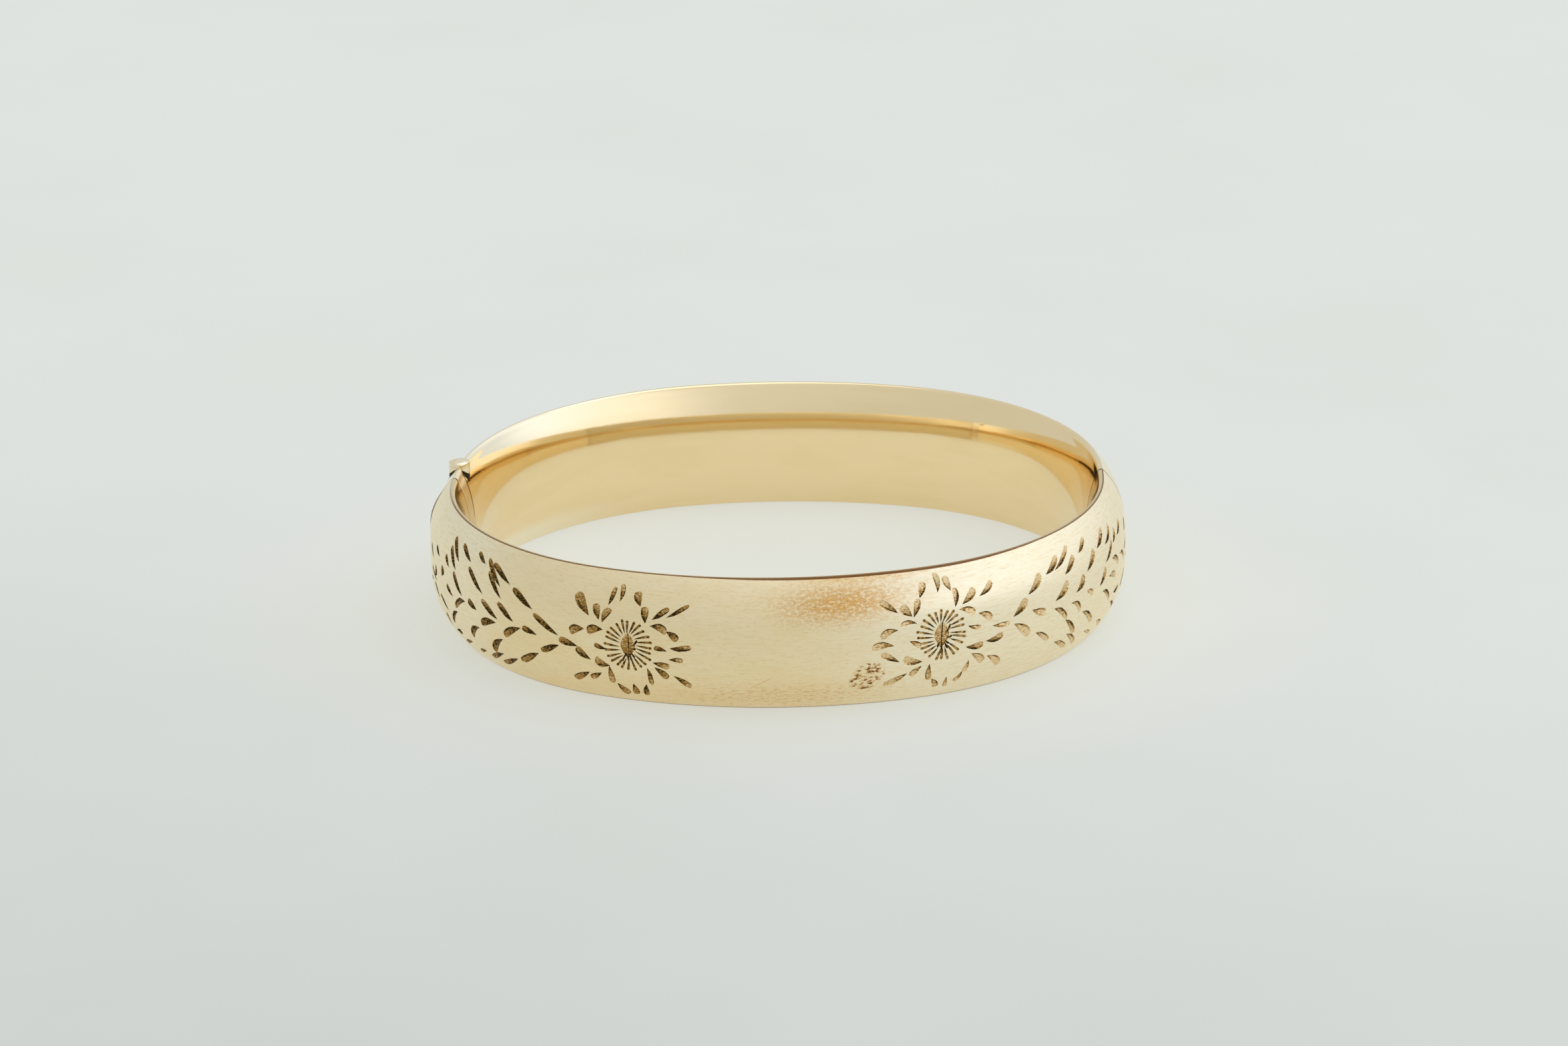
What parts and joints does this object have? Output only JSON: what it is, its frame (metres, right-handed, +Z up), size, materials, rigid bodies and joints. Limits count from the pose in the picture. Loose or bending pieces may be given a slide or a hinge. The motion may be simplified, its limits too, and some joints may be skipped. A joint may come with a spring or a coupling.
{
  "type": "hinged bangle bracelet",
  "caption": "Stiff oval hinged bangle of hollow domed bands, the front engraved with flowers and leaf sprays, with a knuckle hinge and a box clasp.",
  "frame": {"origin": "middle of the oval, at the plane that the bangle rests on", "axes": "+X towards the clasp, -Y towards the engraved front half, +Z up, along the wearer's arm"},
  "size_m": [0.0664, 0.0602, 0.013],
  "materials": {
    "engraved_gold": "pale champagne gold, finely polished with a satin line, engraved, with brown tarnish in the cuts",
    "satin_gold": "pale champagne gold, plain and finely polished",
    "polished_gold": "mirror-polished warm gold",
    "hinge_gold": "polished gold with dark tarnish in the joints",
    "inner_brass": "dull, slightly tarnished brass",
    "spring_brass": "hard rolled strip, brushed along its length"
  },
  "bodies": {
    "back_half": {"back_outer_shell": "satin_gold", "back_liner": "polished_gold", "back_hinge_plug": "inner_brass", "upper_knuckle": "hinge_gold", "lower_knuckle": "hinge_gold", "hinge_pin": "hinge_gold", "back_clasp_plate": "inner_brass", "tongue": "spring_brass"},
    "front_half": {"front_outer_shell": "engraved_gold", "front_liner": "polished_gold", "front_hinge_cap": "satin_gold", "middle_knuckle": "hinge_gold", "front_clasp_plate": "inner_brass", "clasp_box": "inner_brass"},
    "catch_leaf": {"spring_leaf": "spring_brass"}
  },
  "joints": [
    {"name": "front_open", "type": "hinge", "parent": "back_half", "child": "front_half", "pos_m": [-0.03085, 0.00285, 0.00635], "axis": [0, 0, -1], "range_deg": [0, 36]},
    {"name": "catch_press", "type": "hinge", "parent": "back_half", "child": "catch_leaf", "pos_m": [0.03057, -0.00681, 0.00635], "axis": [0, 0, -1], "range_deg": [0, 3], "stiffness_Nm_per_rad": 0.05, "springref_deg": -2.86}
  ]
}
